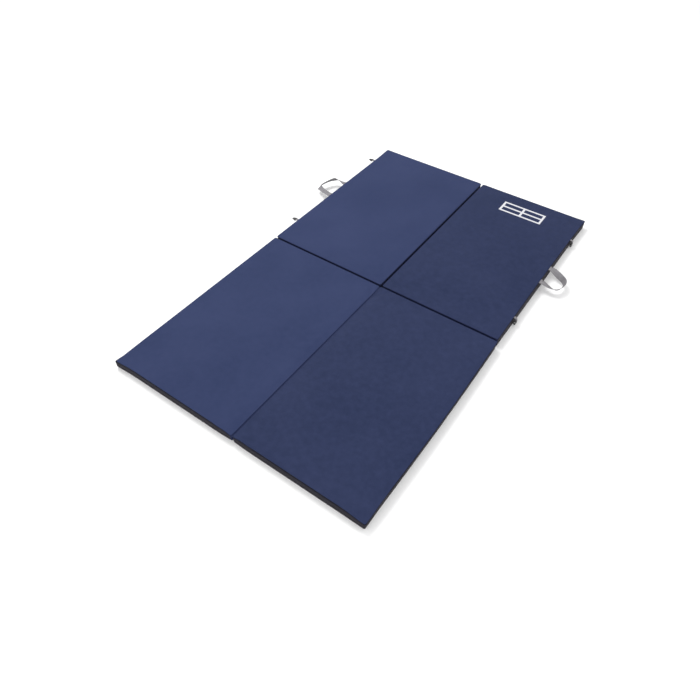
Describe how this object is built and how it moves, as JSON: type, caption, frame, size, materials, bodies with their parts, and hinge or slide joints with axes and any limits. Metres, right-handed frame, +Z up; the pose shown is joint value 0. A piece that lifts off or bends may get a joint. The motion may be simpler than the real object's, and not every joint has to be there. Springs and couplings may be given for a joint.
{
  "type": "folding gym mat",
  "caption": "Open folding exercise mat: a flat padded slab with a cross of fold lines, navy top, black walls and underside, webbing handles and buckle tabs on its long sides.",
  "frame": {"origin": "on the floor at the middle of the open mat", "axes": "+X across the mat, +Y along it towards the half with the handles, +Z up"},
  "size_m": [1.1858, 1.6818, 0.0382],
  "materials": {
    "foam": "matte",
    "navy_cover": "satin",
    "black_wall": "matte",
    "black_base": "matte",
    "piping": "satin",
    "grey_webbing": "matte",
    "black_plastic": "satin",
    "white_print": "satin"
  },
  "bodies": {
    "panel_near_left": {"panel_near_left_foam": "foam", "panel_near_left_top_cover": "navy_cover", "panel_near_left_side_wall": "black_wall", "panel_near_left_bottom_cover": "black_base", "panel_near_left_piping": "piping", "hinge_strip_cross_left": "black_wall", "hinge_strip_near": "navy_cover"},
    "panel_near_right": {"panel_near_right_foam": "foam", "panel_near_right_top_cover": "navy_cover", "panel_near_right_side_wall": "black_wall", "panel_near_right_bottom_cover": "black_base", "panel_near_right_piping": "piping", "hinge_strip_cross_right": "black_wall"},
    "panel_far_left": {"panel_far_left_foam": "foam", "panel_far_left_top_cover": "navy_cover", "panel_far_left_side_wall": "black_wall", "panel_far_left_bottom_cover": "black_base", "panel_far_left_piping": "piping", "handle_left_sewn_end_near": "grey_webbing", "tab_left_near": "grey_webbing", "handle_left_sewn_end_far": "grey_webbing", "tab_left_far": "grey_webbing"},
    "panel_far_right": {"panel_far_right_foam": "foam", "panel_far_right_top_cover": "navy_cover", "panel_far_right_side_wall": "black_wall", "panel_far_right_bottom_cover": "black_base", "panel_far_right_piping": "piping", "printed_mark": "white_print", "handle_right_sewn_end_near": "grey_webbing", "tab_right_near": "grey_webbing", "handle_right_sewn_end_far": "grey_webbing", "tab_right_far": "grey_webbing"},
    "handle_left": {"handle_left": "grey_webbing"},
    "handle_right": {"handle_right": "grey_webbing"},
    "buckle_plug_left_near": {"buckle_plug_left_near": "black_plastic"},
    "buckle_socket_right_near": {"buckle_socket_right_near": "black_plastic"},
    "buckle_plug_left_far": {"buckle_plug_left_far": "black_plastic"},
    "buckle_socket_right_far": {"buckle_socket_right_far": "black_plastic"}
  },
  "joints": [
    {"name": "cross_left_fold", "type": "hinge", "parent": "panel_near_left", "child": "panel_far_left", "pos_m": [-0.24325, -0.0145, -0.00025], "axis": [-1, 0, 0], "range_deg": [0, 180]},
    {"name": "near_long_fold", "type": "hinge", "parent": "panel_near_left", "child": "panel_near_right", "pos_m": [0.0135, -0.42725, 0.03835], "axis": [0, -1, 0], "range_deg": [0, 180], "deforming": ["hinge_strip_near"]},
    {"name": "cross_right_fold", "type": "hinge", "parent": "panel_near_right", "child": "panel_far_right", "pos_m": [0.25675, -0.0145, -0.00025], "axis": [-1, 0, 0], "range_deg": [0, 180]},
    {"name": "handle_left_swing", "type": "hinge", "parent": "panel_far_left", "child": "handle_left", "pos_m": [-0.5036, 0.4195, 0.0355], "axis": [0, -1, 0], "range_deg": [-128, 27]},
    {"name": "handle_right_swing", "type": "hinge", "parent": "panel_far_right", "child": "handle_right", "pos_m": [0.5036, 0.413, 0.0355], "axis": [0, 1, 0], "range_deg": [-128, 27]},
    {"name": "buckle_left_near_swing", "type": "hinge", "parent": "panel_far_left", "child": "buckle_plug_left_near", "pos_m": [-0.5115, 0.131, 0.0333], "axis": [0, -1, 0], "range_deg": [-80, 80]},
    {"name": "buckle_left_far_swing", "type": "hinge", "parent": "panel_far_left", "child": "buckle_plug_left_far", "pos_m": [-0.5115, 0.72, 0.0333], "axis": [0, -1, 0], "range_deg": [-80, 80]},
    {"name": "buckle_right_near_swing", "type": "hinge", "parent": "panel_far_right", "child": "buckle_socket_right_near", "pos_m": [0.5048, 0.127, 0.026], "axis": [0, 1, 0], "range_deg": [-90, 0]},
    {"name": "buckle_right_far_swing", "type": "hinge", "parent": "panel_far_right", "child": "buckle_socket_right_far", "pos_m": [0.5048, 0.681, 0.026], "axis": [0, 1, 0], "range_deg": [-90, 0]}
  ]
}
